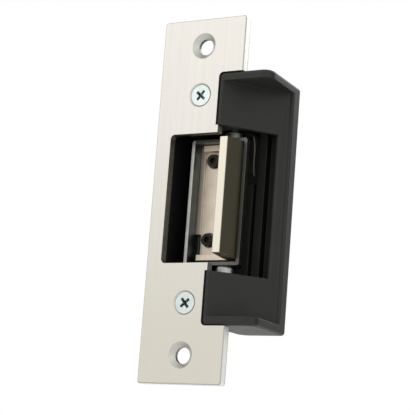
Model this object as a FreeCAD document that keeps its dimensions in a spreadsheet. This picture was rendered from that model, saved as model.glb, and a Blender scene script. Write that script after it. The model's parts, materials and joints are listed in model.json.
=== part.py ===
"""Electric door strike with an ANSI face plate, modelled as a parametric assembly in millimetres.

The dimensions count depth from the face plate's front face. The written parts lie in the frame whose
origin is the centre of the plate's back face, where it seats on the jamb: +X points to the side on
which the keeper opens, +Y into the jamb and +Z up.
"""
import FreeCAD
import Part
import Sketcher
import math
import os

DIMENSIONS = {
    # face plate
    "plate_width": 31.75,
    "plate_height": 123.8,
    "plate_thick": 3.0,
    "plate_corner": 0.9,
    "plate_edge": 0.5,
    "mount_pitch": 104.8,
    "mount_hole": 5.5,
    "mount_sink": 9.0,
    "opening_left": 10.25,
    "opening_half": 21.95,
    "opening_corner": 1.5,
    "tab_edge": 7.8,
    "tab_half": 24.5,
    "notch_left": 6.85,
    "notch_half": 42.7,
    "notch_corner": 1.6,
    # machine screws through the face plate into the case
    "fixing_pitch": 70.4,
    "fixing_shank": 4.0,
    "fixing_head": 7.2,
    "fixing_sink": 8.4,
    "fixing_depth": 0.35,
    "fixing_length": 9.0,
    "fixing_rim": 0.25,
    "fixing_point": 0.6,
    # case
    "case_half_width": 12.2,
    "case_half_height": 38.5,
    "case_back": 36.0,
    "case_wall": 1.8,
    "case_corner": 1.2,
    "relief_left": 7.75,
    "chamber_half": 24.6,
    "partition_front": 19.0,
    "partition_back": 20.0,
    "ear_reach": 22.4,
    "ear_front": 25.6,
    "ear_thick": 2.4,
    "ear_low": 28.0,
    "ear_high": 36.0,
    "cover_thick": 1.4,
    "post_x": 8.6,
    "post_z": 34.9,
    "post_radius": 1.9,
    "cover_screw": 2.0,
    "cover_head": 3.6,
    "cover_screw_length": 6.0,
    "cover_edge": 0.4,
    # lip shroud
    "shroud_gap": 0.1,
    "shroud_front_right": 26.6,
    "shroud_back_right": 24.4,
    "shroud_back": 25.4,
    "shroud_heel": 8.0,
    "shroud_front_corner": 3.6,
    "shroud_heel_corner": 4.0,
    "shroud_cap_edge": 1.2,
    "ramp_start": 8.6,
    "ramp_right": 23.2,
    "ramp_end": 20.44,
    "ramp_foot": 1.0,
    "ledge_edge": 0.7,
    "cap_inner": 39.7,
    "shroud_wall": 2.3,
    "shroud_side": 22.0,
    "shroud_floor": 2.0,
    "mouth_half": 24.6,
    "mouth_right": 19.9,
    "mouth_depth": 21.2,
    "mouth_edge": 1.0,
    "rib_left": 12.8,
    "rib_right": 15.9,
    "rib_front": 20.2,
    "shroud_screw_x": 18.5,
    "shroud_screw_z": 32.0,
    "shroud_boss": 3.0,
    "shroud_boss_height": 6.4,
    "shroud_bore_depth": 5.0,
    "shroud_screw": 2.5,
    "shroud_head": 4.6,
    "shroud_screw_length": 6.5,
    # keeper carrier and its pivot
    "pivot_x": 7.6,
    "pivot_y": 11.6,
    "keeper_rise": 0.1,
    "keeper_left": 6.45,
    "keeper_right": 14.9,
    "keeper_front": 8.0,
    "keeper_floor": 15.0,
    "keeper_back": 16.5,
    "keeper_half": 21.65,
    "keeper_wall": 1.2,
    "keeper_corner": 1.0,
    "keeper_heel": 1.2,
    "keeper_side_low": 1.0,
    "keeper_slope_x": 3.0,
    "boss_radius": 3.0,
    "boss_half": 24.0,
    "bush_outer": 1.95,
    "pivot_radius": 1.5,
    "pivot_clearance": 0.04,
    "pivot_reach": 30.5,
    "pin_chamfer": 0.3,
    # bolt-on lip of the keeper
    "lip_left": 8.85,
    "lip_right": 11.9,
    "lip_half": 19.85,
    "lip_rise": 0.5,
    "lip_gap": 0.05,
    "lip_draft": 0.9,
    "lip_edge": 0.45,
    "tongue_front": 12.4,
    "tongue_length": 30.4,
    "lip_floor_left": 3.3,
    "lip_floor_front": 13.0,
    "lip_bar_front": 10.6,
    "lip_bar_width": 2.0,
    "lip_screw_x": 0.0,
    "lip_screw_mid": 1.55,
    "lip_screw_pitch": 27.3,
    "lip_screw_head": 4.4,
    "lip_screw_bore": 5.0,
    "lip_screw_seat": 0.9,
    "lip_screw_front": 11.4,
    "lip_screw_socket": 1.2,
    "lip_socket_depth": 1.3,
    "lip_screw_shank": 2.5,
    # lock lug behind the keeper
    "lug_strip_left": 3.6,
    "lug_strip_right": 3.4,
    "lug_strip_back": 18.0,
    "lug_strip_half": 17.6,
    "lug_half_width": 1.9,
    "lug_low": 3.0,
    "lug_high": 10.0,
    "lug_tip": 25.0,
    "lug_play": 0.7,
    "lug_edge": 0.5,
    # solenoid
    "coil_y": 28.0,
    "yoke_bottom": 36.7,
    "yoke_top": 12.0,
    "yoke_half_width": 6.4,
    "yoke_front": 20.0,
    "yoke_back": 34.2,
    "yoke_thick": 1.4,
    "yoke_bend": 0.8,
    "yoke_screw_x": 4.7,
    "yoke_screw": 2.0,
    "bobbin_flange": 6.0,
    "bobbin_flange_thick": 1.0,
    "bobbin_inner": 3.3,
    "bobbin_wall": 0.6,
    "winding_radius": 5.4,
    "tape_thick": 0.25,
    "core_radius": 3.2,
    "core_top": 26.6,
    "iron_chamfer": 0.4,
    "plunger_radius": 3.2,
    "plunger_gap": 0.08,
    "plunger_low": 23.3,
    "plunger_high": 4.0,
    "plunger_rod": 1.5,
    "plunger_collar": 4.6,
    "collar_thick": 0.8,
    "clevis_radius": 2.5,
    "clevis_low": 7.5,
    "clevis_floor": 9.0,
    "clevis_high": 17.0,
    "spring_wire": 0.3,
    "spring_radius": 3.9,
    "spring_turns": 5.0,
    # lock lever
    "lever_pivot_x": 7.4,
    "lever_z": 14.0,
    "lever_front": 27.1,
    "lever_thick": 1.8,
    "lever_half": 2.6,
    "lever_pin": 1.5,
    "lever_pin_back": 30.2,
    "lever_boss": 3.0,
    "lever_gap": 0.3,
    "lever_pin_depth": 6.9,
    "clip_thick": 0.6,
    "clip_mouth": 1.1,
    "link_pin": 1.0,
    "link_slack": 0.15,
    "link_travel": 0.6,
    "nose_left": 6.6,
    "nose_right": 4.0,
    "nose_low": 11.2,
    "nose_high": 15.0,
    "nose_corner": 0.6,
    "nose_front": 21.4,
    # leads
    "lead_radius": 0.7,
    "lead_exit_z": 26.0,
    "lead_spread": 1.2,
    "lead_start_z": -20.0,
    "lead_back": 35.1,
    "lead_inner": 33.4,
    "lead_step_low": 4.0,
    "lead_step_high": 12.0,
    "lead_bend": 0.9,
    "grommet_hole": 3.2,
    "grommet_bore": 2.2,
    "grommet_lip": 4.2,
    "grommet_flange": 0.8,
    "grommet_taper": 0.5,
    "plug_front": 43.0,
    "plug_back": 51.0,
    "plug_half_width": 3.6,
    "plug_half_height": 2.2,
    "plug_pitch": 3.6,
    "plug_corner": 0.35,
    "plug_cavity": 2.2,
    "cavity_depth": 5.5,
    "wire_hole_depth": 1.5,
    "latch_front": 2.0,
    "latch_back": 5.5,
    "latch_height": 0.8,
    "latch_width": 2.4,
    "blade_width": 1.0,
    "blade_thick": 0.6,
    "blade_length": 4.6,
    # torsion spring of the keeper
    "torsion_wire": 0.3,
    "torsion_radius": 2.0,
    "torsion_pitch": 0.72,
    "torsion_base": 25.2,
    "torsion_pocket": 3.3,
    "torsion_pocket_top": 28.4,
    "torsion_turns": 3.5,
    "torsion_leg_x": 15.4,
    "torsion_leg_splay": 1.1,
    "torsion_leg_y": 11.5,
    "torsion_leg_end": 9.1,
    "leg_slot_depth": 1.4,
    "leg_slot_front": 1.4,
    "leg_slot_back": 3.2,
    "leg_relief_left": 7.9,
    "leg_relief_low": 8.2,
    "leg_relief_depth": 2.1,
    "leg_backing_left": 6.9,
    "leg_backing_wall": 1.1,
}


class Size:
    """A length that carries its value together with the sheet expression it comes from."""

    def __init__(self, value, text):
        self.value = value
        self.text = text

    def combine(self, other, sign):
        other = as_size(other)
        results = {
            "+": self.value + other.value,
            "-": self.value - other.value,
            "*": self.value * other.value,
            "/": self.value / other.value if other.value else 0.0,
        }
        return Size(results[sign], f"({self.text} {sign} {other.text})")

    def __add__(self, other):
        return self.combine(other, "+")

    def __sub__(self, other):
        return self.combine(other, "-")

    def __mul__(self, other):
        return self.combine(other, "*")

    def __truediv__(self, other):
        return self.combine(other, "/")

    def __neg__(self):
        return Size(-self.value, f"(0 - {self.text})")


class Sheet:
    """The driving dimensions: every alias of the spreadsheet can be read as an attribute."""

    def __init__(self, document, dimensions):
        table = document.addObject("Spreadsheet::Sheet", "dims")
        for row, (alias, value) in enumerate(dimensions.items(), start=1):
            table.set(f"A{row}", alias)
            table.set(f"B{row}", str(value))
            table.setAlias(f"B{row}", alias)
        document.recompute()
        self.table = table

    def __getattr__(self, alias):
        return Size(float(getattr(self.table, alias)), f"dims.{alias}")


def as_size(value):
    return value if isinstance(value, Size) else Size(float(value), repr(float(value)))


doc = FreeCAD.newDocument("door_strike")
S = Sheet(doc, DIMENSIONS)
CUT_MARGIN = 1.0
CLEARANCE = 0.1
TOUCH_GAP = 0.02
RECESS_REACH = 0.56
RECESS_ARM = 0.14
RECESS_DEPTH = 0.55
RECESS_TAPER = -12
PAN_HEIGHT = 0.36
PAN_CROWN = 0.72
PAN_SHOULDER = 0.45


# ---------------------------------------------------------------- sketches and features
def new_body(name):
    return doc.addObject("PartDesign::Body", name)


def origin_feature(body, role):
    return next(item for item in body.Origin.OriginFeatures if item.Role == role)


def new_sketch(body, plane="XY_Plane", offset=None):
    """A sketch on one of the body's own origin planes, moved along the plane's normal by offset."""
    sketch = body.newObject("Sketcher::SketchObject", f"{body.Name}_sketch")
    sketch.AttachmentSupport = [(origin_feature(body, plane), "")]
    sketch.MapMode = "FlatFace"
    if offset is not None:
        sketch.setExpression(".AttachmentOffset.Base.z", as_size(offset).text)
    return sketch


def fix_coordinate(sketch, kind, geometry, point, size):
    """Bind one coordinate of a sketch point to its expression."""
    size = as_size(size)
    if abs(size.value) < 1e-9:
        axis = -2 if kind == "DistanceX" else -1
        sketch.addConstraint(Sketcher.Constraint("PointOnObject", geometry, point, axis))
        return
    index = sketch.addConstraint(Sketcher.Constraint(kind, -1, 1, geometry, point, size.value))
    sketch.setExpression(f"Constraints[{index}]", size.text)


def add_outline(sketch, points):
    """A closed outline of straight lines through points given as pairs of sizes."""
    points = [(as_size(u), as_size(v)) for u, v in points]
    corners = [FreeCAD.Vector(u.value, v.value, 0) for u, v in points]
    first = sketch.GeometryCount
    count = len(corners)
    for index, corner in enumerate(corners):
        sketch.addGeometry(Part.LineSegment(corner, corners[(index + 1) % count]), False)
    for index in range(count):
        following = first + (index + 1) % count
        sketch.addConstraint(Sketcher.Constraint("Coincident", first + index, 2, following, 1))
    for index, (u, v) in enumerate(points):
        fix_coordinate(sketch, "DistanceX", first + index, 1, u)
        fix_coordinate(sketch, "DistanceY", first + index, 1, v)


def add_circle(sketch, u, v, radius):
    u, v, radius = as_size(u), as_size(v), as_size(radius)
    centre = FreeCAD.Vector(u.value, v.value, 0)
    circle = Part.Circle(centre, FreeCAD.Vector(0, 0, 1), radius.value)
    geometry = sketch.addGeometry(circle, False)
    index = sketch.addConstraint(Sketcher.Constraint("Radius", geometry, radius.value))
    sketch.setExpression(f"Constraints[{index}]", radius.text)
    fix_coordinate(sketch, "DistanceX", geometry, 3, u)
    fix_coordinate(sketch, "DistanceY", geometry, 3, v)


def rectangle(left, right, low, high):
    return [(left, low), (right, low), (right, high), (left, high)]


def add_feature(body, kind, sketch, length, symmetric, reverse):
    feature = body.newObject(f"PartDesign::{kind}", f"{body.Name}_{kind.lower()}")
    feature.Profile = sketch
    feature.SideType = "Symmetric" if symmetric else "One side"
    feature.Reversed = reverse
    feature.setExpression("Length", as_size(length).text)
    return feature


def pad(body, sketch, length, symmetric=False, reverse=False):
    """Add material; a pad that adds nothing stops the build."""
    before = body.Shape.Volume if body.Tip else 0.0
    feature = add_feature(body, "Pad", sketch, length, symmetric, reverse)
    doc.recompute()
    if body.Shape.Volume <= before:
        raise RuntimeError(f"{feature.Name} adds nothing")
    return feature


def pocket(body, sketch, length, symmetric=False, reverse=False):
    """Remove material; a pocket that removes nothing stops the build."""
    before = body.Shape.Volume
    feature = add_feature(body, "Pocket", sketch, length, symmetric, reverse)
    doc.recompute()
    if body.Shape.Volume >= before:
        raise RuntimeError(f"{feature.Name} cuts nothing")
    return feature


def revolve(body, sketch):
    """Turn a sketch fully round its own vertical axis."""
    feature = body.newObject("PartDesign::Revolution", f"{body.Name}_revolution")
    feature.Profile = sketch
    feature.ReferenceAxis = (sketch, ["V_Axis"])
    feature.Angle = 360
    doc.recompute()
    return feature


def edges_where(shape, test):
    return [f"Edge{index}" for index, edge in enumerate(shape.Edges, start=1) if test(edge)]


def dress(body, kind, size_property, size, test):
    """Fillet or chamfer every edge of the body's tip that passes the test."""
    base = body.Tip
    names = edges_where(base.Shape, test)
    if not names:
        raise RuntimeError(f"{body.Name} has no edge to dress")
    feature = body.newObject(f"PartDesign::{kind}", f"{body.Name}_{kind.lower()}")
    feature.Base = (base, names)
    feature.setExpression(size_property, as_size(size).text)
    doc.recompute()
    return feature


def fillet(body, radius, test):
    return dress(body, "Fillet", "Radius", radius, test)


def chamfer(body, size, test):
    return dress(body, "Chamfer", "Size", size, test)


def near(value, size, tolerance=0.01):
    return abs(value - as_size(size).value) < tolerance


def along(edge, axis):
    """True for a straight edge parallel to the axis letter."""
    if edge.Curve.TypeId != "Part::GeomLine":
        return False
    return abs(getattr(edge.Curve.Direction, axis)) > 0.999


def runs_at(axis, **places):
    """A test for straight edges along axis whose other coordinates lie at one of the given sizes."""

    def test(edge):
        if not along(edge, axis):
            return False
        point = edge.CenterOfMass
        for name, values in places.items():
            if not any(near(getattr(point, name), value) for value in values):
                return False
        return True

    return test


def in_plane(axis, size):
    """A test for edges that lie wholly in the plane axis = size."""

    def test(edge):
        box = edge.BoundBox
        low = getattr(box, f"{axis.upper()}Min")
        high = getattr(box, f"{axis.upper()}Max")
        return near(low, size) and near(high, size)

    return test


def hole_pair(body, pitch, diameter, sink):
    """Two countersunk through holes on the Z axis, drilled from the front face."""
    sketch = new_sketch(body, "XZ_Plane")
    for side in (1, -1):
        add_circle(sketch, 0, pitch / (2 * side), diameter / 2)
    doc.recompute()
    hole = body.newObject("PartDesign::Hole", f"{body.Name}_hole")
    hole.Profile = sketch
    hole.DepthType = "ThroughAll"
    hole.HoleCutType = "Countersink"
    hole.setExpression("Diameter", diameter.text)
    hole.HoleCutCustomValues = True
    hole.setExpression("HoleCutDiameter", sink.text)
    hole.HoleCutCountersinkAngle = 90
    doc.recompute()
    return hole


def mirrored_group(name, source, *normals):
    """Copies of a fastener mirrored across planes through the origin, as one group of solids."""
    links = [source]
    for normal in normals:
        for original in list(links):
            mirror = doc.addObject("Part::Mirroring", f"{name}_mirror")
            mirror.Source = original
            mirror.Base = (0, 0, 0)
            mirror.Normal = normal
            links.append(mirror)
    group = doc.addObject("Part::Compound", name)
    group.Links = links
    return group


ALONG_Y = FreeCAD.Vector(0, 1, 0)
ACROSS_X = (1, 0, 0)
ACROSS_Z = (0, 0, 1)
FACING_FRONT = FreeCAD.Rotation(FreeCAD.Vector(0, 0, 1), 180)
FACING_UP = FreeCAD.Rotation(FreeCAD.Vector(1, 0, 0), 90)
parts = {}


def keep(name, item):
    """Register a finished sub-part under its node name."""
    item.Label = name
    parts[name] = item
    return item


# ---------------------------------------------------------------- face plate and its screws
def build_face_plate():
    body = new_body("face_plate_body")
    outer = new_sketch(body, "XZ_Plane")
    half_width = S.plate_width / 2
    half_height = S.plate_height / 2
    add_outline(outer, rectangle(-half_width, half_width, -half_height, half_height))
    pad(body, outer, S.plate_thick, reverse=True)

    opening = new_sketch(body, "XZ_Plane")
    beyond = half_width + CUT_MARGIN
    upper = [
        (-S.opening_left, S.opening_half),
        (S.tab_edge, S.opening_half),
        (S.tab_edge, S.tab_half),
        (S.notch_left, S.tab_half),
        (S.notch_left, S.notch_half),
        (beyond, S.notch_half),
    ]
    lower = [(x, -z) for x, z in reversed(upper)]
    add_outline(opening, upper + lower)
    pocket(body, opening, S.plate_thick)

    hole_pair(body, S.mount_pitch, S.mount_hole, S.mount_sink)
    hole_pair(body, S.fixing_pitch, S.fixing_shank + CLEARANCE * 2, S.fixing_sink)
    corners_z = (S.plate_height / 2, -S.plate_height / 2)
    fillet(body, S.plate_corner, runs_at("y", x=(half_width, -half_width), z=corners_z))
    fillet(body, S.opening_corner, runs_at("y", x=(-S.opening_left,)))
    notch_z = (S.notch_half, -S.notch_half)
    fillet(body, S.notch_corner, runs_at("y", x=(S.notch_left,), z=notch_z))

    def front_rim(edge):
        point = edge.CenterOfMass
        corner = S.plate_corner.value
        outside = abs(point.x) > half_width.value - corner or abs(point.z) > half_height.value - corner
        return in_plane("y", 0)(edge) and outside

    fillet(body, S.plate_edge, front_rim)
    return keep("face_plate", body)


def cross_recess(body, head_radius, depth, raised=None):
    """A tapered cross-head recess cut along +Y into a head whose face is raised off the XZ plane."""
    arm = new_sketch(body, "XZ_Plane", raised)
    reach = head_radius * RECESS_REACH
    width = head_radius * RECESS_ARM
    add_outline(arm, [
        (-reach, -width), (-width, -width), (-width, -reach), (width, -reach),
        (width, -width), (reach, -width), (reach, width), (width, width),
        (width, reach), (-width, reach), (-width, width), (-reach, width),
    ])
    cut = pocket(body, arm, depth)
    cut.TaperAngle = RECESS_TAPER
    doc.recompute()


def countersunk_screw(name, head, shank, length, y_place, z_place, turn):
    """A countersunk cross-head screw along +Y, with its head's face at y_place."""
    body = new_body(f"{name}_body")
    profile = new_sketch(body, "XY_Plane")
    head_radius = head / 2
    shank_radius = shank / 2
    add_outline(profile, [
        (0, 0),
        (head_radius, 0),
        (head_radius, S.fixing_rim),
        (shank_radius, S.fixing_rim + head_radius - shank_radius),
        (shank_radius, length - S.fixing_point),
        (shank_radius - S.fixing_point, length),
        (0, length),
    ])
    revolve(body, profile)
    cross_recess(body, head_radius, head_radius * RECESS_DEPTH)
    body.Placement = FreeCAD.Placement(FreeCAD.Vector(), FreeCAD.Rotation(ALONG_Y, turn))
    body.setExpression(".Placement.Base.y", y_place.text)
    body.setExpression(".Placement.Base.z", z_place.text)
    return body


def build_face_plate_screws():
    screw = countersunk_screw("face_plate_screw", S.fixing_head, S.fixing_shank,
                              S.fixing_length, S.fixing_depth, S.fixing_pitch / 2, turn=40)
    return keep("face_plate_screws", mirrored_group("face_plate_screws", screw, ACROSS_Z))


# ---------------------------------------------------------------- case
def build_strike_case():
    body = new_body("strike_case_body")
    inside = S.case_half_width - S.case_wall
    block = new_sketch(body)
    half_width = S.case_half_width
    add_outline(block, rectangle(-half_width, half_width, S.plate_thick, S.case_back))
    pad(body, block, S.case_half_height * 2, symmetric=True)
    fillet(body, S.case_corner, runs_at("y", x=(half_width, -half_width)))
    relief = new_sketch(body)
    rise = S.ramp_end / (S.ramp_right - S.ramp_start)
    reach = half_width + CUT_MARGIN - S.relief_left
    add_outline(relief, [
        (S.relief_left - as_size(CUT_MARGIN) / rise, S.plate_thick - CUT_MARGIN),
        (half_width + CUT_MARGIN, S.plate_thick - CUT_MARGIN),
        (half_width + CUT_MARGIN, S.plate_thick + reach * rise),
    ])
    pocket(body, relief, (S.case_half_height + CUT_MARGIN) * 2, symmetric=True)

    ears = new_sketch(body)
    ear_back = S.ear_front + S.ear_thick
    add_outline(ears, rectangle(half_width - CUT_MARGIN, S.ear_reach, S.ear_front, ear_back))
    pad(body, ears, S.ear_high * 2, symmetric=True)
    between_ears = new_sketch(body)
    add_outline(between_ears, rectangle(half_width, S.ear_reach + CUT_MARGIN,
                                        S.ear_front - CUT_MARGIN, ear_back + CUT_MARGIN))
    pocket(body, between_ears, S.ear_low * 2, symmetric=True)

    chamber = new_sketch(body)
    add_outline(chamber, rectangle(-inside, half_width + CUT_MARGIN,
                                   S.plate_thick - CUT_MARGIN, S.partition_front))
    pocket(body, chamber, S.chamber_half * 2, symmetric=True)

    rear = new_sketch(body)
    add_outline(rear, rectangle(-inside, inside, S.partition_back, S.case_back + CUT_MARGIN))
    pocket(body, rear, (S.case_half_height - S.case_wall) * 2, symmetric=True)

    slot = new_sketch(body, "XZ_Plane", -(S.partition_back + CUT_MARGIN))
    slot_right = S.lug_half_width + S.lug_play
    add_outline(slot, rectangle(-inside, slot_right, S.lug_low - S.lug_play, S.lug_high + S.lug_play))
    pocket(body, slot, S.partition_back - S.partition_front + CUT_MARGIN * 2, reverse=True)

    posts = new_sketch(body, "XZ_Plane", -S.partition_front)
    for side_x in (1, -1):
        for side_z in (1, -1):
            add_circle(posts, S.post_x * side_x, S.post_z * side_z, S.post_radius)
    pad(body, posts, S.case_back - S.partition_front, reverse=True)

    lever_boss = new_sketch(body, "XZ_Plane", -S.partition_front)
    add_circle(lever_boss, S.lever_pivot_x, S.lever_z, S.lever_boss)
    pad(body, lever_boss, S.lever_front - S.partition_front - S.lever_gap, reverse=True)

    spring_pocket = new_sketch(body, "XY_Plane", S.chamber_half)
    add_circle(spring_pocket, S.pivot_x, S.pivot_y, S.torsion_pocket)
    pocket(body, spring_pocket, S.torsion_pocket_top - S.chamber_half, reverse=True)
    leg_slot = new_sketch(body, "XY_Plane", S.chamber_half)
    add_outline(leg_slot, rectangle(S.pivot_x, half_width + CUT_MARGIN,
                                    S.pivot_y - S.leg_slot_front, S.pivot_y + S.leg_slot_back))
    pocket(body, leg_slot, S.leg_slot_depth, reverse=True)
    leg_backing = new_sketch(body, "XZ_Plane", -S.partition_front)
    add_outline(leg_backing, rectangle(S.leg_backing_left, half_width - S.case_wall / 2,
                                       S.leg_relief_low - S.leg_backing_wall, S.chamber_half))
    pad(body, leg_backing, S.leg_relief_depth + S.leg_backing_wall, reverse=True)
    leg_relief = new_sketch(body, "XZ_Plane", -(S.partition_front - CUT_MARGIN))
    add_outline(leg_relief, rectangle(S.leg_relief_left, half_width + CUT_MARGIN,
                                      S.leg_relief_low, S.chamber_half))
    pocket(body, leg_relief, S.leg_relief_depth + CUT_MARGIN)
    return finish_strike_case(body)


def finish_strike_case(body):
    """Drill the case: pivot bores, lever pin bore and every screw hole."""
    pivots = new_sketch(body)
    add_circle(pivots, S.pivot_x, S.pivot_y, S.pivot_radius)
    pocket(body, pivots, S.pivot_reach * 2, symmetric=True)

    fixing = new_sketch(body, "XZ_Plane", -S.plate_thick)
    for side in (1, -1):
        add_circle(fixing, 0, S.fixing_pitch / (2 * side), S.fixing_shank / 2)
    pocket(body, fixing, S.fixing_length)

    rear_holes = new_sketch(body, "XZ_Plane", -S.case_back)
    for side_x in (1, -1):
        for side_z in (1, -1):
            add_circle(rear_holes, S.post_x * side_x, S.post_z * side_z, S.cover_screw / 2)
    pocket(body, rear_holes, S.cover_screw_length, reverse=True)

    lever_bore = new_sketch(body, "XZ_Plane", -S.lever_front)
    add_circle(lever_bore, S.lever_pivot_x, S.lever_z, S.lever_pin)
    pocket(body, lever_bore, S.lever_pin_depth + CLEARANCE, reverse=True)

    ear_holes = new_sketch(body, "XZ_Plane", -(S.ear_front + S.ear_thick))
    for side in (1, -1):
        add_circle(ear_holes, S.shroud_screw_x, S.shroud_screw_z * side, S.shroud_screw / 2 + CLEARANCE)
    pocket(body, ear_holes, S.ear_thick, reverse=True)

    base_holes = new_sketch(body, "XY_Plane", -S.case_half_height)
    for side in (1, -1):
        add_circle(base_holes, S.yoke_screw_x * side, S.coil_y, S.yoke_screw / 2 + CLEARANCE)
    pocket(body, base_holes, S.case_wall, reverse=True)
    return keep("strike_case", body)


def build_back_cover():
    body = new_body("back_cover_body")
    sheet = new_sketch(body, "XZ_Plane", -S.case_back)
    add_outline(sheet, rectangle(-S.case_half_width, S.case_half_width,
                                 -S.case_half_height, S.case_half_height))
    pad(body, sheet, S.cover_thick, reverse=True)
    back = S.case_back + S.cover_thick
    holes = new_sketch(body, "XZ_Plane", -back)
    for side_x in (1, -1):
        for side_z in (1, -1):
            add_circle(holes, S.post_x * side_x, S.post_z * side_z, S.cover_screw / 2 + CLEARANCE)
    add_circle(holes, 0, S.lead_exit_z, S.grommet_hole)
    pocket(body, holes, S.cover_thick, reverse=True)
    corner_x = (S.case_half_width, -S.case_half_width)
    fillet(body, S.case_corner, runs_at("y", x=corner_x))
    fillet(body, S.cover_edge, in_plane("y", back))
    return keep("back_cover", body)


def pan_screw(name, head, shank, length, place, rotation):
    """A pan-head cross screw: its shank runs along +Y from the underside of the head at its origin."""
    body = new_body(f"{name}_body")
    profile = new_sketch(body, "XY_Plane")
    head_height = head * PAN_HEIGHT
    point = shank * PAN_HEIGHT / 2
    add_outline(profile, [
        (0, -head_height),
        (head / 2 * PAN_CROWN, -head_height),
        (head / 2, -head_height * PAN_SHOULDER),
        (head / 2, 0),
        (shank / 2, 0),
        (shank / 2, length - point),
        (shank / 2 - point, length),
        (0, length),
    ])
    revolve(body, profile)
    cross_recess(body, head / 2, head_height * PAN_CROWN, raised=head_height)
    body.Placement = FreeCAD.Placement(FreeCAD.Vector(0, 0, 0), rotation)
    for axis, size in zip("xyz", place):
        body.setExpression(f".Placement.Base.{axis}", size.text)
    return body


def build_back_cover_screws():
    screw = pan_screw("back_cover_screw", S.cover_head, S.cover_screw, S.cover_screw_length,
                      (S.post_x, S.case_back + S.cover_thick, S.post_z), FACING_FRONT)
    group = mirrored_group("back_cover_screws", screw, ACROSS_X, ACROSS_Z)
    return keep("back_cover_screws", group)


def build_shroud_screws():
    screw = pan_screw("shroud_screw", S.shroud_head, S.shroud_screw, S.shroud_screw_length,
                      (S.shroud_screw_x, S.ear_front + S.ear_thick, S.shroud_screw_z), FACING_FRONT)
    return keep("shroud_screws", mirrored_group("shroud_screws", screw, ACROSS_Z))


# ---------------------------------------------------------------- lip shroud
def build_lip_shroud():
    body = new_body("lip_shroud_body")
    left = S.notch_left + S.shroud_gap
    half = S.notch_half - S.shroud_gap
    heel_front = S.plate_thick + S.shroud_gap
    profile = new_sketch(body)
    add_outline(profile, [
        (left, 0),
        (S.shroud_front_right, 0),
        (S.shroud_back_right, S.shroud_back),
        (S.shroud_heel, S.shroud_back),
        (S.shroud_heel, heel_front),
        (left, heel_front),
    ])
    pad(body, profile, half * 2, symmetric=True)
    fillet(body, S.shroud_front_corner, runs_at("z", x=(S.shroud_front_right,), y=(0,)))
    fillet(body, S.shroud_heel_corner, runs_at("z", x=(S.shroud_heel,), y=(S.shroud_back,)))
    cap_z = (half, -half)
    fillet(body, S.notch_corner, runs_at("y", x=(left,), z=cap_z))

    def cap_rim(edge):
        box = edge.BoundBox
        at_end = near(abs(box.ZMin), half) and near(abs(box.ZMax), half)
        at_front = box.YMax < S.shroud_back.value - S.shroud_heel_corner.value
        return at_end and at_front and edge.CenterOfMass.x > S.shroud_heel.value

    fillet(body, S.shroud_cap_edge, cap_rim)

    ramp = new_sketch(body)
    beyond = S.shroud_front_right + CUT_MARGIN
    add_outline(ramp, [
        (S.ramp_start, 0),
        (S.ramp_start, -CUT_MARGIN),
        (beyond, -CUT_MARGIN),
        (beyond, S.ramp_end),
        (S.ramp_right, S.ramp_end),
    ])
    pocket(body, ramp, S.cap_inner * 2, symmetric=True)
    side_taper = (S.shroud_front_right - S.shroud_back_right) / S.shroud_back
    ledge_right = S.shroud_front_right - side_taper * S.ramp_end
    fillet(body, S.ramp_foot, runs_at("z", x=(S.ramp_right,), y=(S.ramp_end,)))
    fillet(body, S.ledge_edge, runs_at("z", x=(ledge_right,), y=(S.ramp_end,)))
    hollow_lip_shroud(body)
    return keep("lip_shroud", body)


def hollow_lip_shroud(body):
    """Hollow the shroud, open its mouth and add the two screw bosses."""
    slope = (S.ramp_right.value - S.ramp_start.value) / S.ramp_end.value
    tilt = math.atan2(1.0, slope)
    wall = S.shroud_wall
    inner_x = S.ramp_start - wall * math.sin(tilt)
    inner_y = wall * math.cos(tilt)
    floor = S.shroud_back - S.shroud_floor
    ramp_back = inner_y + (S.shroud_side - inner_x) / slope
    hollow_left = S.notch_left - CUT_MARGIN
    case_side = S.case_half_width + S.shroud_gap
    hollow = new_sketch(body)
    add_outline(hollow, [
        (hollow_left, wall),
        (inner_x + (wall - inner_y) * slope, wall),
        (S.shroud_side, ramp_back),
        (S.shroud_side, floor),
        (S.rib_right, floor),
        (S.rib_right, S.rib_front),
        (S.rib_left, S.rib_front),
        (S.rib_left, floor),
        (case_side, floor),
        (case_side, S.shroud_back + CUT_MARGIN),
        (hollow_left, S.shroud_back + CUT_MARGIN),
    ])
    pocket(body, hollow, S.cap_inner * 2, symmetric=True)
    mouth = new_sketch(body)
    beside_rib = S.rib_right + S.shroud_gap
    add_outline(mouth, [
        (hollow_left, -CUT_MARGIN),
        (S.mouth_right, -CUT_MARGIN),
        (S.mouth_right, S.mouth_depth),
        (beside_rib, S.mouth_depth),
        (beside_rib, S.rib_front),
        (hollow_left, S.rib_front),
    ])
    pocket(body, mouth, S.mouth_half * 2, symmetric=True)
    mouth_front = (S.mouth_right - S.ramp_start) / slope
    fillet(body, S.mouth_edge, runs_at("z", x=(S.mouth_right,), y=(mouth_front,)))
    bosses = new_sketch(body, "XZ_Plane", -S.shroud_back)
    holes = new_sketch(body, "XZ_Plane", -S.shroud_back)
    for side_z in (1, -1):
        add_circle(bosses, S.shroud_screw_x, S.shroud_screw_z * side_z, S.shroud_boss)
        add_circle(holes, S.shroud_screw_x, S.shroud_screw_z * side_z, S.shroud_screw / 2)
    pad(body, bosses, S.shroud_boss_height)
    pocket(body, holes, S.shroud_bore_depth, reverse=True)


# ---------------------------------------------------------------- keeper and its pivot
def lip_screw_places():
    """Heights of the two screws that hold the lip on the carrier."""
    return [S.lip_screw_mid + S.lip_screw_pitch / (2 * side) for side in (1, -1)]


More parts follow.
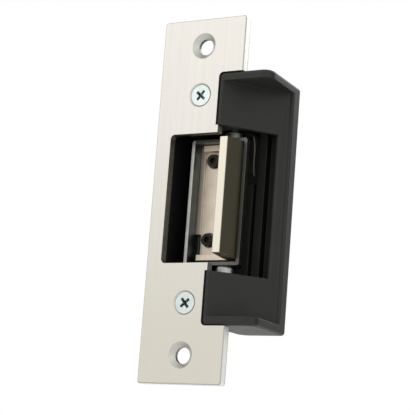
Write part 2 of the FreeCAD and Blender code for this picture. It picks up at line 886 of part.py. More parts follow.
def build_keeper_carrier():
    """The folded tray that swings on the pivot pins and carries the lip."""
    body = new_body("keeper_carrier_body")
    outer = new_sketch(body, "XY_Plane", S.keeper_rise)
    add_outline(outer, [
        (-S.keeper_left, S.keeper_front),
        (S.keeper_right, S.keeper_front),
        (S.keeper_right, S.pivot_y - S.keeper_side_low),
        (S.pivot_x + S.keeper_slope_x, S.keeper_back),
        (-S.keeper_left, S.keeper_back),
    ])
    pad(body, outer, S.keeper_half * 2, symmetric=True)
    ends = (S.keeper_rise + S.keeper_half, S.keeper_rise - S.keeper_half)
    fillet(body, S.keeper_corner, runs_at("y", x=(-S.keeper_left, S.keeper_right), z=ends))
    fillet(body, S.keeper_heel, runs_at("z", x=(-S.keeper_left,), y=(S.keeper_back,)))
    bosses = new_sketch(body, "XY_Plane", S.keeper_rise)
    add_circle(bosses, S.pivot_x, S.pivot_y, S.boss_radius)
    pad(body, bosses, (S.boss_half - S.keeper_rise) * 2, symmetric=True)

    tray = new_sketch(body, "XY_Plane", S.keeper_rise)
    wall = S.keeper_wall
    add_outline(tray, [
        (-S.keeper_left + wall, S.keeper_front - CUT_MARGIN),
        (S.keeper_right - wall, S.keeper_front - CUT_MARGIN),
        (S.keeper_right - wall, tray_side_low()),
        (tray_floor_right(), S.keeper_floor),
        (-S.keeper_left + wall, S.keeper_floor),
    ])
    pocket(body, tray, (S.keeper_half - wall) * 2, symmetric=True)

    bore = new_sketch(body)
    add_circle(bore, S.pivot_x, S.pivot_y, S.bush_outer)
    pocket(body, bore, (S.boss_half + CUT_MARGIN) * 2, symmetric=True)
    holes = new_sketch(body, "XZ_Plane", -(S.keeper_back + CUT_MARGIN))
    for z_place in lip_screw_places():
        add_circle(holes, S.lip_screw_x, z_place, S.lip_screw_shank / 2 + CLEARANCE)
    pocket(body, holes, S.keeper_back - S.keeper_floor + CUT_MARGIN * 2, reverse=True)
    return keep("keeper_carrier", body)


def tray_side_low():
    """Depth at which the inner right side of the tray turns towards its floor."""
    return S.pivot_y - S.keeper_side_low - S.keeper_wall / 3


def tray_floor_right():
    """Right end of the tray's floor on its inside."""
    return S.pivot_x + S.keeper_slope_x - S.keeper_wall * 2 / 3


def build_keeper_lip():
    """The bolt-on lip: an L section whose tall leg is the lip, with a bar across each end."""
    body = new_body("keeper_lip_body")
    gap = S.lip_gap
    right = S.keeper_right - S.keeper_wall - gap
    section = new_sketch(body, "XY_Plane", S.lip_rise)
    add_outline(section, [
        (-S.lip_floor_left, S.lip_floor_front),
        (S.lip_left, S.lip_floor_front),
        (S.lip_left, 0),
        (S.lip_right, 0),
        (right, S.keeper_front),
        (right, tray_side_low() - gap),
        (tray_floor_right() - gap, S.keeper_floor),
        (-S.lip_floor_left, S.keeper_floor),
    ])
    pad(body, section, S.lip_half * 2, symmetric=True)

    bars = new_sketch(body, "XY_Plane", S.lip_rise)
    add_outline(bars, rectangle(-S.lip_floor_left, S.lip_left + CUT_MARGIN,
                                S.lip_bar_front, S.lip_floor_front + CUT_MARGIN))
    pad(body, bars, S.lip_half * 2, symmetric=True)
    between_bars = new_sketch(body, "XY_Plane", S.lip_rise)
    add_outline(between_bars, rectangle(-S.lip_floor_left - CUT_MARGIN, S.lip_left,
                                        S.lip_bar_front - CUT_MARGIN, S.lip_floor_front))
    pocket(body, between_bars, (S.lip_half - S.lip_bar_width) * 2, symmetric=True)

    tongue = new_sketch(body, "XY_Plane", S.lip_rise + S.lip_half)
    add_outline(tongue, rectangle(-S.keeper_left + S.keeper_wall + gap, -S.lip_floor_left,
                                  S.tongue_front, S.keeper_floor))
    pad(body, tongue, S.tongue_length, reverse=True)
    finish_keeper_lip(body)
    return keep("keeper_lip", body)


def finish_keeper_lip(body):
    """Counterbored screw holes, drafted lower end and softened edges of the lip."""
    bores = new_sketch(body, "XZ_Plane", -S.lip_bar_front)
    holes = new_sketch(body, "XZ_Plane", -S.lip_floor_front)
    for z_place in lip_screw_places():
        add_circle(bores, S.lip_screw_x, z_place, S.lip_screw_bore / 2)
        add_circle(holes, S.lip_screw_x, z_place, S.lip_screw_shank / 2 + CLEARANCE)
    pocket(body, bores, S.lip_floor_front - S.lip_bar_front + S.lip_screw_seat)
    pocket(body, holes, S.keeper_floor - S.lip_floor_front)
    end = new_sketch(body, "YZ_Plane")
    bottom = S.lip_rise - S.lip_half
    beyond = bottom - CUT_MARGIN
    add_outline(end, [(-CUT_MARGIN, bottom + S.lip_draft), (S.keeper_front, bottom),
                      (S.keeper_front, beyond), (-CUT_MARGIN, beyond)])
    pocket(body, end, S.keeper_right, reverse=True)
    fillet(body, S.lip_edge, runs_at("z", x=(S.lip_left, S.lip_right), y=(0,)))


def build_keeper_lip_screws():
    """Two socket cap screws, sunk in the lip's counterbores and threaded into the lug strip."""
    screws = []
    seat = S.lip_floor_front + S.lip_screw_seat
    for index, z_place in enumerate(lip_screw_places()):
        body = new_body(f"keeper_lip_screw_{index}")
        head = new_sketch(body, "XZ_Plane", -S.lip_screw_front)
        add_circle(head, S.lip_screw_x, z_place, S.lip_screw_head / 2)
        pad(body, head, seat - S.lip_screw_front, reverse=True)
        shank = new_sketch(body, "XZ_Plane", -seat)
        add_circle(shank, S.lip_screw_x, z_place, S.lip_screw_shank / 2)
        pad(body, shank, S.lug_strip_back - seat, reverse=True)
        socket = new_sketch(body, "XZ_Plane", -S.lip_screw_front)
        corners = []
        for corner in range(6):
            angle = math.radians(60 * corner)
            corners.append((S.lip_screw_x + S.lip_screw_socket * math.cos(angle),
                            z_place + S.lip_screw_socket * math.sin(angle)))
        add_outline(socket, corners)
        pocket(body, socket, S.lip_socket_depth)
        screws.append(body)
    group = doc.addObject("Part::Compound", "keeper_lip_screws")
    group.Links = screws
    return keep("keeper_lip_screws", group)


def build_lock_lug():
    """The strip behind the keeper with the lug that the lock lever blocks."""
    body = new_body("lock_lug_body")
    strip = new_sketch(body, "XY_Plane", S.lip_screw_mid)
    add_outline(strip, rectangle(-S.lug_strip_left, S.lug_strip_right,
                                 S.keeper_back, S.lug_strip_back))
    pad(body, strip, S.lug_strip_half * 2, symmetric=True)
    lug = new_sketch(body, "XY_Plane", S.lug_low)
    add_outline(lug, rectangle(-S.lug_half_width, S.lug_half_width,
                               S.lug_strip_back - CUT_MARGIN, S.lug_tip))
    pad(body, lug, S.lug_high - S.lug_low)
    holes = new_sketch(body, "XZ_Plane", -S.lug_strip_back)
    for z_place in lip_screw_places():
        add_circle(holes, S.lip_screw_x, z_place, S.lip_screw_shank / 2)
    pocket(body, holes, S.lug_strip_back - S.keeper_back, reverse=True)
    chamfer(body, S.lug_edge, runs_at("z", x=(S.lug_half_width, -S.lug_half_width), y=(S.lug_tip,)))
    return keep("lock_lug", body)


def build_pivot_pins():
    """Two short pivot pins pressed into the case, one above and one below the keeper."""
    body = new_body("pivot_pin_body")
    low = S.keeper_rise + S.keeper_half - S.keeper_wall + CLEARANCE
    circle = new_sketch(body, "XY_Plane", low)
    add_circle(circle, S.pivot_x, S.pivot_y, S.pivot_radius)
    pad(body, circle, S.pivot_reach - low)
    chamfer(body, S.pin_chamfer, in_plane("z", low))
    return keep("keeper_pivot_pins", mirrored_group("keeper_pivot_pins", body, ACROSS_Z))


def build_keeper_bushings():
    """A plain bronze bushing in each pivot boss of the keeper."""
    body = new_body("keeper_bushing_body")
    low = S.keeper_half - S.keeper_wall
    circle = new_sketch(body, "XY_Plane", low + S.keeper_rise)
    add_circle(circle, S.pivot_x, S.pivot_y, S.bush_outer)
    add_circle(circle, S.pivot_x, S.pivot_y, S.pivot_radius + S.pivot_clearance)
    pad(body, circle, S.boss_half - low - S.keeper_rise)
    lower = new_body("keeper_bushing_lower_body")
    circle = new_sketch(lower, "XY_Plane", -(low - S.keeper_rise))
    add_circle(circle, S.pivot_x, S.pivot_y, S.bush_outer)
    add_circle(circle, S.pivot_x, S.pivot_y, S.pivot_radius + S.pivot_clearance)
    pad(lower, circle, S.boss_half - low - S.keeper_rise, reverse=True)
    group = doc.addObject("Part::Compound", "keeper_bushings")
    group.Links = [body, lower]
    return keep("keeper_bushings", group)


def coil_points(centre_x, centre_y, base_z, radius, pitch, turns, start_angle):
    """Points along a helix that climbs from base_z round a vertical axis."""
    steps_per_turn = 12
    points = []
    for step in range(round(turns * steps_per_turn) + 1):
        angle = math.radians(start_angle) + 2 * math.pi * step / steps_per_turn
        points.append((
            centre_x + radius * math.cos(angle),
            centre_y + radius * math.sin(angle),
            base_z + pitch * step / steps_per_turn,
        ))
    return points


def spring_from_points(name, points, wire_radius):
    curve = Part.BSplineCurve()
    curve.interpolate([FreeCAD.Vector(*point) for point in points])
    return keep(name, wire_along(Part.Wire([curve.toShape()]), name, wire_radius))


# Bends of the leg that rests on the keeper, from the top of its straight run to the first coil.
LEG_BEND = [(0.0, 0.1, -3.4), (-1.1, 0.6, -1.4), (-2.8, 1.3, -0.3), (-5.2, 1.9, 0.0)]
# Bends of the short leg that is held in the case, from the last coil.
CASE_LEG = [(1.4, -0.15), (2.2, 0.1)]


def build_keeper_spring():
    """Torsion spring round the upper pivot pin: leg on the keeper, coils, leg in the case."""
    centre_x, centre_y = S.pivot_x.value, S.pivot_y.value
    radius = S.torsion_radius.value
    pitch = S.torsion_pitch.value
    base = S.torsion_base.value
    turns = S.torsion_turns.value
    leg_x, leg_y, leg_end = S.torsion_leg_x.value, S.torsion_leg_y.value, S.torsion_leg_end.value
    splay = S.torsion_leg_splay.value
    keeper_leg = [
        (leg_x + splay, leg_y, leg_end),
        (leg_x + splay / 2, leg_y, (leg_end + base) / 2),
    ]
    for shift_x, shift_y, shift_z in LEG_BEND:
        keeper_leg.append((leg_x + shift_x, leg_y + shift_y, base + shift_z))
    coils = coil_points(centre_x, centre_y, base, radius, pitch, turns, start_angle=90)
    case_leg = []
    for shift_x, shift_y in CASE_LEG:
        case_leg.append((centre_x + shift_x, centre_y - radius + shift_y, base + pitch * turns))
    spring_from_points("keeper_spring", keeper_leg + coils + case_leg, S.torsion_wire)


def wire_along(spine, name, radius):
    """A round wire or cable along a spine, as one closed solid."""
    first = spine.Edges[0]
    start = first.valueAt(first.FirstParameter)
    direction = first.tangentAt(first.FirstParameter)
    profile = Part.Wire([Part.makeCircle(radius.value, start, direction)])
    feature = doc.addObject("Part::Feature", name)
    feature.Shape = spine.makePipeShell([profile], True, True)
    return feature


# ---------------------------------------------------------------- solenoid
def turned(name, outline, base_z):
    """A body turned about the coil's vertical axis; the outline is radius against height above base_z."""
    body = new_body(f"{name}_body")
    sketch = new_sketch(body, "XZ_Plane")
    add_outline(sketch, outline)
    revolve(body, sketch)
    body.setExpression(".Placement.Base.y", S.coil_y.text)
    body.setExpression(".Placement.Base.z", as_size(base_z).text)
    return body


def build_solenoid_yoke():
    body = new_body("solenoid_yoke_body")
    wall = S.yoke_thick
    frame = new_sketch(body, "YZ_Plane")
    add_outline(frame, rectangle(S.yoke_front, S.yoke_back, -S.yoke_bottom, -S.yoke_top))
    pad(body, frame, S.yoke_half_width * 2, symmetric=True)
    window = new_sketch(body, "YZ_Plane")
    add_outline(window, rectangle(S.yoke_front + wall, S.yoke_back + CUT_MARGIN,
                                  -S.yoke_bottom + wall, -S.yoke_top - wall))
    pocket(body, window, S.yoke_half_width * 2 + CUT_MARGIN, symmetric=True)
    core_hole = new_sketch(body, "XY_Plane", -S.yoke_bottom)
    add_circle(core_hole, 0, S.coil_y, S.core_radius)
    pocket(body, core_hole, wall, reverse=True)
    plunger_hole = new_sketch(body, "XY_Plane", -S.yoke_top)
    add_circle(plunger_hole, 0, S.coil_y, S.plunger_radius + S.plunger_gap)
    pocket(body, plunger_hole, wall)
    screw_holes = new_sketch(body, "XY_Plane", -S.yoke_bottom)
    for side in (1, -1):
        add_circle(screw_holes, S.yoke_screw_x * side, S.coil_y, S.yoke_screw / 2)
    pocket(body, screw_holes, wall, reverse=True)
    fillet(body, S.yoke_bend, runs_at("x", y=(S.yoke_front,)))
    keep("solenoid_yoke", body)


def build_coil():
    """Bobbin, winding and insulating tape."""
    low = -S.yoke_bottom + S.yoke_thick + CLEARANCE
    high = -S.yoke_top - S.yoke_thick - CLEARANCE
    length = high - low
    thick = S.bobbin_flange_thick
    inner = S.bobbin_inner
    tube = inner + S.bobbin_wall
    flange = S.bobbin_flange
    keep("coil_bobbin", turned("coil_bobbin", [
        (inner, 0), (flange, 0), (flange, thick), (tube, thick),
        (tube, length - thick), (flange, length - thick), (flange, length), (inner, length),
    ], low))
    winding = rectangle(tube, S.winding_radius, thick, length - thick)
    keep("coil_winding", turned("coil_winding", winding, low))
    tape = rectangle(S.winding_radius, S.winding_radius + S.tape_thick, thick, length - thick)
    keep("coil_tape", turned("coil_tape", tape, low))


def build_solenoid_core():
    height = S.yoke_bottom - S.core_top
    keep("solenoid_core", turned("solenoid_core", [
        (0, 0), (S.core_radius, 0), (S.core_radius, height - S.iron_chamfer),
        (S.core_radius - S.iron_chamfer, height), (0, height),
    ], -S.yoke_bottom))


def build_plunger():
    """Plunger with its spring collar and the fork that carries the link pin."""
    low = -S.plunger_low
    shoulder = S.plunger_low - S.plunger_high
    collar_low = shoulder - S.collar_thick
    fork_low = S.plunger_low + S.clevis_low
    fork_high = S.plunger_low + S.clevis_high
    body = turned("plunger", [
        (0, 0),
        (S.plunger_radius - S.iron_chamfer, 0),
        (S.plunger_radius, S.iron_chamfer),
        (S.plunger_radius, collar_low),
        (S.plunger_collar, collar_low),
        (S.plunger_collar, shoulder),
        (S.plunger_rod, shoulder),
        (S.plunger_rod, fork_low),
        (S.clevis_radius, fork_low),
        (S.clevis_radius, fork_high),
        (0, fork_high),
    ], low)
    slot = new_sketch(body, "YZ_Plane")
    half = S.lever_thick / 2 + S.link_slack
    floor = S.plunger_low + S.clevis_floor
    add_outline(slot, rectangle(-half, half, floor, fork_high + CUT_MARGIN))
    pocket(body, slot, S.clevis_radius * 2 + CUT_MARGIN, symmetric=True)
    bore = new_sketch(body, "XZ_Plane")
    add_circle(bore, 0, S.plunger_low + S.lever_z, S.link_pin)
    pocket(body, bore, S.clevis_radius * 2 + CUT_MARGIN, symmetric=True)
    keep("plunger", body)


def cross_pin(name, radius, x_place, front, back):
    """A plain pin along Y at the height of the lock lever's pivot."""
    body = new_body(f"{name}_body")
    circle = new_sketch(body, "XZ_Plane", -front)
    add_circle(circle, x_place, S.lever_z, radius)
    pad(body, circle, back - front, reverse=True)
    chamfer(body, S.pin_chamfer, in_plane("y", back))
    return keep(name, body)


def build_plunger_link_pin():
    reach = S.clevis_radius - S.link_slack
    cross_pin("plunger_link_pin", S.link_pin, as_size(0), S.coil_y - reach, S.coil_y + reach)


def build_plunger_spring():
    """Compression spring between the yoke and the plunger's collar."""
    low = -S.yoke_top + S.spring_wire + TOUCH_GAP
    top = -S.plunger_high - S.collar_thick - S.spring_wire - TOUCH_GAP
    turns = S.spring_turns.value
    pitch = (top - low).value / turns
    points = coil_points(0, S.coil_y.value, low.value, S.spring_radius.value, pitch, turns, 0)
    spring_from_points("plunger_spring", points, S.spring_wire)


def build_solenoid_screws():
    screw = pan_screw("solenoid_screw", S.cover_head, S.yoke_screw, S.case_wall + S.yoke_thick,
                      (S.yoke_screw_x, S.coil_y, -S.case_half_height), FACING_UP)
    keep("solenoid_screws", mirrored_group("solenoid_screws", screw, ACROSS_X))


# ---------------------------------------------------------------- lock lever
def build_lock_lever():
    """Lever with an eye on its pivot pin, a slot for the plunger's link pin and a nose."""
    body = new_body("lock_lever_body")
    arm = new_sketch(body, "XZ_Plane", -S.lever_front)
    add_outline(arm, rectangle(-S.nose_left, S.lever_pivot_x, S.nose_low, S.lever_z + S.lever_half))
    pad(body, arm, S.lever_thick, reverse=True)
    eye = new_sketch(body, "XZ_Plane", -S.lever_front)
    add_circle(eye, S.lever_pivot_x, S.lever_z, S.lever_half)
    pad(body, eye, S.lever_thick, reverse=True)
    nose = new_sketch(body, "XZ_Plane", -S.nose_front)
    add_outline(nose, rectangle(-S.nose_left, -S.nose_right, S.nose_low, S.nose_high))
    pad(body, nose, S.lever_front - S.nose_front + S.lever_thick, reverse=True)
    bore = new_sketch(body, "XZ_Plane", -S.lever_front)
    add_circle(bore, S.lever_pivot_x, S.lever_z, S.lever_pin + S.pivot_clearance)
    pocket(body, bore, S.lever_thick)
    half = S.link_pin + S.link_slack
    slot = new_sketch(body, "XZ_Plane", -S.lever_front)
    add_outline(slot, rectangle(-half - S.link_travel, half + CLEARANCE,
                                S.lever_z - half, S.lever_z + half))
    pocket(body, slot, S.lever_thick)
    fillet(body, S.nose_corner, runs_at("y", x=(-S.nose_left,)))
    keep("lock_lever", body)


def build_lever_pivot():
    """The lever's pivot pin, pressed into the case boss, and the clip that holds the lever on it."""
    cross_pin("lever_pivot_pin", S.lever_pin, S.lever_pivot_x, S.lever_front - S.lever_pin_depth,
              S.lever_pin_back)
    body = new_body("lever_clip_body")
    front = S.lever_front + S.lever_thick + CLEARANCE
    ring = new_sketch(body, "XZ_Plane", -front)
    add_circle(ring, S.lever_pivot_x, S.lever_z, S.lever_half - CLEARANCE)
    add_circle(ring, S.lever_pivot_x, S.lever_z, S.lever_pin)
    pad(body, ring, S.clip_thick, reverse=True)
    mouth = new_sketch(body, "XZ_Plane", -front)
    add_outline(mouth, rectangle(S.lever_pivot_x - S.clip_mouth, S.lever_pivot_x + S.clip_mouth,
                                 S.lever_z, S.lever_z + S.lever_boss))
    pocket(body, mouth, S.clip_thick)
    keep("lever_clip", body)


# ---------------------------------------------------------------- leads
def rounded_path(corners, bend):
    """Straight runs between corners, joined by circular bends."""
    points = [FreeCAD.Vector(*corner) for corner in corners]
    edges = []
    start = points[0]
    for before, corner, after in zip(points, points[1:], points[2:]):
        inward = (before - corner).normalize()
        outward = (after - corner).normalize()
        half_angle = inward.getAngle(outward) / 2
        setback = bend / math.tan(half_angle)
        first = corner + inward * setback
        last = corner + outward * setback
        to_middle = (inward + outward).normalize()
        centre_distance = bend / math.sin(half_angle)
        middle = corner + to_middle * (centre_distance - bend)
        edges.append(Part.makeLine(start, first))
        edges.append(Part.Arc(first, middle, last).toShape())
        start = last
    edges.append(Part.makeLine(start, points[-1]))
    return Part.Wire(edges)


def build_leads():
    """Two insulated leads from the winding, up the back of the case and out to the plug."""
    winding = S.winding_radius.value + S.tape_thick.value
    spread = S.lead_spread.value
    exit_z = S.lead_exit_z.value
    radius = S.lead_radius.value
    start_y = S.coil_y.value + math.sqrt(winding ** 2 - (spread - radius) ** 2) + TOUCH_GAP
    for name, x_place in (("lead_red", spread), ("lead_black", -spread)):
        spine = rounded_path([
            (x_place, start_y, S.lead_start_z.value),
            (x_place, S.lead_back.value, S.lead_start_z.value),
            (x_place, S.lead_back.value, S.lead_step_low.value),
            (x_place, S.lead_inner.value, S.lead_step_high.value),
            (x_place, S.lead_inner.value, exit_z),
            (x_place, (S.plug_front + S.wire_hole_depth).value, exit_z),
        ], S.lead_bend.value)
        keep(name, wire_along(spine, name, S.lead_radius))


def build_lead_grommet():
    inner_face = -S.grommet_flange
    outer_face = S.cover_thick + S.grommet_flange
    body = new_body("lead_grommet_body")
    profile = new_sketch(body, "XY_Plane")
    add_outline(profile, [
        (S.grommet_bore, inner_face), (S.grommet_lip, inner_face), (S.grommet_lip, 0),
        (S.grommet_hole, 0), (S.grommet_hole, S.cover_thick), (S.grommet_lip, S.cover_thick),
        (S.grommet_lip - S.grommet_taper, outer_face), (S.grommet_bore, outer_face),
    ])
    revolve(body, profile)
    body.setExpression(".Placement.Base.y", S.case_back.text)
    body.setExpression(".Placement.Base.z", S.lead_exit_z.text)
    keep("lead_grommet", body)


def build_connector():
    """Two-way plug on the leads, with its two contacts."""
    low = S.lead_exit_z - S.plug_half_height
    high = S.lead_exit_z + S.plug_half_height
    body = new_body("connector_plug_body")
    shell = new_sketch(body, "XZ_Plane", -S.plug_front)
    add_outline(shell, rectangle(-S.plug_half_width, S.plug_half_width, low, high))
    pad(body, shell, S.plug_back - S.plug_front, reverse=True)
    latch = new_sketch(body, "YZ_Plane")
    latch_end = S.plug_front + S.latch_back
    add_outline(latch, [(S.plug_front + S.latch_front, high - CLEARANCE), (latch_end, high - CLEARANCE),
                        (latch_end, high + S.latch_height)])
    pad(body, latch, S.latch_width, symmetric=True)
    sockets = new_sketch(body, "XZ_Plane", -S.plug_back)
    wire_holes = new_sketch(body, "XZ_Plane", -S.plug_front)
    for side in (1, -1):
        middle = S.plug_pitch / (2 * side)
        cavity = S.plug_cavity / 2
        add_outline(sockets, rectangle(middle - cavity, middle + cavity,
                                       S.lead_exit_z - cavity, S.lead_exit_z + cavity))
        add_circle(wire_holes, S.lead_spread * side, S.lead_exit_z, S.lead_radius)
    pocket(body, sockets, S.cavity_depth, reverse=True)
    pocket(body, wire_holes, S.wire_hole_depth)
    sides = (S.plug_half_width, -S.plug_half_width)
    fillet(body, S.plug_corner, runs_at("y", x=sides, z=(low, high)))
    keep("connector_plug", body)

    contact = new_body("connector_contact_body")
    root = S.plug_back - S.cavity_depth
    blade = new_sketch(contact, "XZ_Plane", -root)
    middle = S.plug_pitch / 2
    half_thick = S.blade_thick / 2
    add_outline(blade, rectangle(middle - S.blade_width / 2, middle + S.blade_width / 2,
                                 S.lead_exit_z - half_thick, S.lead_exit_z + half_thick))
    pad(contact, blade, S.blade_length, reverse=True)
    chamfer(contact, half_thick / 2, in_plane("y", root + S.blade_length))
    keep("connector_contacts", mirrored_group("connector_contacts", contact, ACROSS_X))


def write_parts():
    """Check every object of the document and write one STEP file per sub-part."""
    failed = [item.Name for item in doc.Objects if {"Invalid", "Error"} & set(item.State)]
    if failed:
        raise RuntimeError(f"failed objects: {failed}")
    os.makedirs("parts", exist_ok=True)
    for name, item in parts.items():
        shape = item.Shape.copy()
        shape.translate(FreeCAD.Vector(0, -S.plate_thick.value, 0))
        if shape.isNull() or not shape.isValid() or not shape.Solids:
            raise RuntimeError(f"{name} has no valid shape")
        shape.exportStep(f"parts/{name}.step")
        box = shape.BoundBox
        print(f"{name:24s} solids {len(shape.Solids):2d}  volume {shape.Volume:9.1f}  "
              f"x {box.XMin:6.1f} {box.XMax:6.1f}  y {box.YMin:6.1f} {box.YMax:6.1f}  "
              f"z {box.ZMin:6.1f} {box.ZMax:6.1f}")


build_face_plate()
build_face_plate_screws()
build_strike_case()
build_back_cover()
build_back_cover_screws()
build_lip_shroud()
build_shroud_screws()
build_keeper_carrier()
build_keeper_lip()
build_keeper_lip_screws()
build_lock_lug()
build_pivot_pins()
build_keeper_bushings()
build_keeper_spring()
build_solenoid_yoke()
build_coil()
build_solenoid_core()
build_plunger()
build_plunger_link_pin()
build_plunger_spring()
build_solenoid_screws()
build_lock_lever()
build_lever_pivot()
build_leads()
build_lead_grommet()
build_connector()
doc.recompute()
write_parts()
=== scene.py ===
import json
import math

import bpy
from mathutils import Matrix, Vector


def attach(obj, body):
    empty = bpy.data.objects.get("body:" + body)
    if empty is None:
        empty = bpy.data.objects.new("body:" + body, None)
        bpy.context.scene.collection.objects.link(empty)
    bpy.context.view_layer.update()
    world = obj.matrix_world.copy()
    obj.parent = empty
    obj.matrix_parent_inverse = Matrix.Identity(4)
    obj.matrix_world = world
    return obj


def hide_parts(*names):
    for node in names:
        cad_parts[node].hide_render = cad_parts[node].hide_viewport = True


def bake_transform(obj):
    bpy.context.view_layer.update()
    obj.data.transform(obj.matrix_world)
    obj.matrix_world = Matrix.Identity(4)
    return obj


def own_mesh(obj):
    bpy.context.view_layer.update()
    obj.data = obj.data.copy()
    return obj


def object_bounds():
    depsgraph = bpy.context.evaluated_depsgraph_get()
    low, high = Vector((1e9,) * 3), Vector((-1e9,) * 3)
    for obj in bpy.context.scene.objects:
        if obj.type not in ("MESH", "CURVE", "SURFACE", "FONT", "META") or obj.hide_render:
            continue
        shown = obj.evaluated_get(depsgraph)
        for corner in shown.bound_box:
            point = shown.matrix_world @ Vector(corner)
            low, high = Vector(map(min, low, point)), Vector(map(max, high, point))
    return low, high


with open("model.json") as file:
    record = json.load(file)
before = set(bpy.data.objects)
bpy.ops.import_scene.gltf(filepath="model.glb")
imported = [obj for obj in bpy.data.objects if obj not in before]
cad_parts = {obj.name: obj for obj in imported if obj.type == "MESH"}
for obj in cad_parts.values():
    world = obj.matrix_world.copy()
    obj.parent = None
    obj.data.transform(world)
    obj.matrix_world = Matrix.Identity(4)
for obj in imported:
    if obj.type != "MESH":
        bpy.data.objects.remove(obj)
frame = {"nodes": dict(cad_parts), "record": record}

CAD_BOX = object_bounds()
MM = 0.001

# The camera looks up at the strike from its lower right.
CAMERA_AZIMUTH = math.radians(30.83)
CAMERA_ELEVATION = math.radians(-10.93)
CAMERA_ROLL = math.radians(4.32)
CAMERA_DISTANCE = 514.7 * MM
CAMERA_TARGET = Vector((6.19, -3.0, -3.60)) * MM
CAMERA_LENS = 135.6
CAMERA_SENSOR = 36.0

# The surroundings' warm white, and their strength straight below against 1 straight above.
WORLD_WHITE = (1.0, 0.99, 0.965)
WORLD_LOW = 0.75

# The floor lies this far below the strike and reaches this far on each side.
FLOOR_DROP = 90 * MM
FLOOR_HALF = 3.0

# Where the materials change, in millimetres: the plate's rim, the tray's left wall and its two
# bosses, and the lip's front edge and right flank.
PLATE_RIM_X = (14.6, 14.9)
PLATE_RIM_Z = (60.6, 60.9)
PLATE_BACK_EDGE_Y = (-0.5, -0.2)
PLATE_SHADE_Z = (25, -45)
TRAY_RIM_X = (-4.9, -5.4)
TRAY_WALL_X = (-4.0, -4.5)
LOWER_BOSS_Z = (-21.9, -22.2)
UPPER_BOSS_Z = (22.2, 22.5)
LIP_EDGE_Y = (-1.5, -2.6)
LIP_FLANK_X = (9.5, 10.5)


